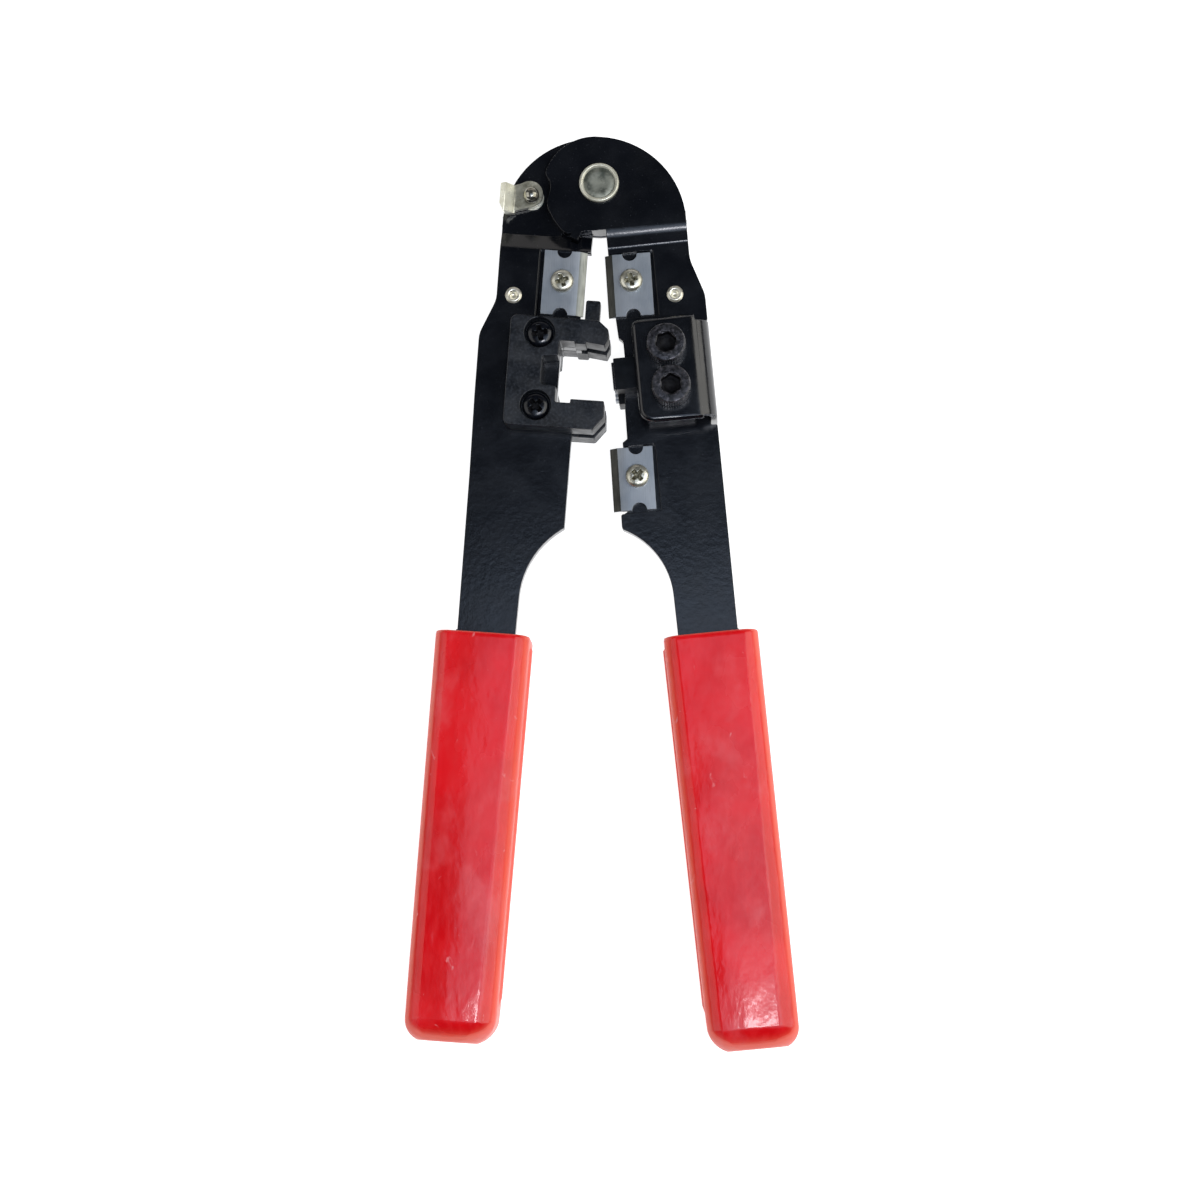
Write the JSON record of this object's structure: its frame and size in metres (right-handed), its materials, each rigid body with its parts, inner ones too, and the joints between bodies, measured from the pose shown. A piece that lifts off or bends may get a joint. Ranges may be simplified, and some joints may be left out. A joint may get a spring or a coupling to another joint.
{
  "type": "modular plug crimping tool",
  "caption": "Hand crimping tool for modular network plugs: pivoted plate arms with red sleeves, die, punch, stripping and cutting blades, spring and latch.",
  "frame": {"origin": "centre of the bounding box at the plane the tool lies on, its rear side down", "axes": "+Z out of the front face with the screw heads, +Y from the handles towards the pivot head, +X towards the arm with the punch"},
  "size_m": [0.083, 0.1988, 0.025],
  "materials": {
    "black_enamel": "gloss black enamel",
    "red_vinyl": "glossy dipped vinyl",
    "die_black": "matt moulded nylon",
    "black_oxide": "oiled black oxide",
    "blade_steel": "ground satin",
    "nickel_plate": "dull nickel plating",
    "spring_steel": "drawn wire"
  },
  "bodies": {
    "left_arm": {"left_arm_plate": "black_enamel", "left_grip": "red_vinyl", "die_front_half": "die_black", "die_rear_half": "die_black", "die_screws": "black_oxide", "die_nuts": "black_oxide", "left_strip_blade": "blade_steel", "left_blade_screw": "nickel_plate", "left_spring_pin": "nickel_plate", "pivot_pin": "nickel_plate", "pivot_clip": "spring_steel", "pivot_washer": "nickel_plate", "return_spring": "spring_steel", "latch_pin": "nickel_plate", "latch_washer": "nickel_plate"},
    "right_arm": {"right_arm_plate": "black_enamel", "right_grip": "red_vinyl", "right_strip_blade": "blade_steel", "wire_cutter_blade": "blade_steel", "right_blade_screws": "nickel_plate", "right_spring_pin": "nickel_plate", "punch_bracket": "black_enamel", "punch_front_block": "die_black", "punch_rear_block": "die_black", "strain_relief_bar": "blade_steel", "contact_teeth": "blade_steel", "punch_screws": "black_oxide"},
    "latch": {"latch_lever": "nickel_plate"}
  },
  "joints": [
    {"name": "handle_pivot", "type": "hinge", "parent": "left_arm", "child": "right_arm", "pos_m": [-0.00053, 0.08852, 0.01], "axis": [0, 0, 1], "range_deg": [-7.8, 0], "stiffness_Nm_per_rad": 0.4, "springref_deg": 28.65},
    {"name": "latch_pivot", "type": "hinge", "parent": "left_arm", "child": "latch", "pos_m": [-0.01535, 0.0861, 0.01], "axis": [0, 0, 1], "range_deg": [-30, 0]}
  ]
}
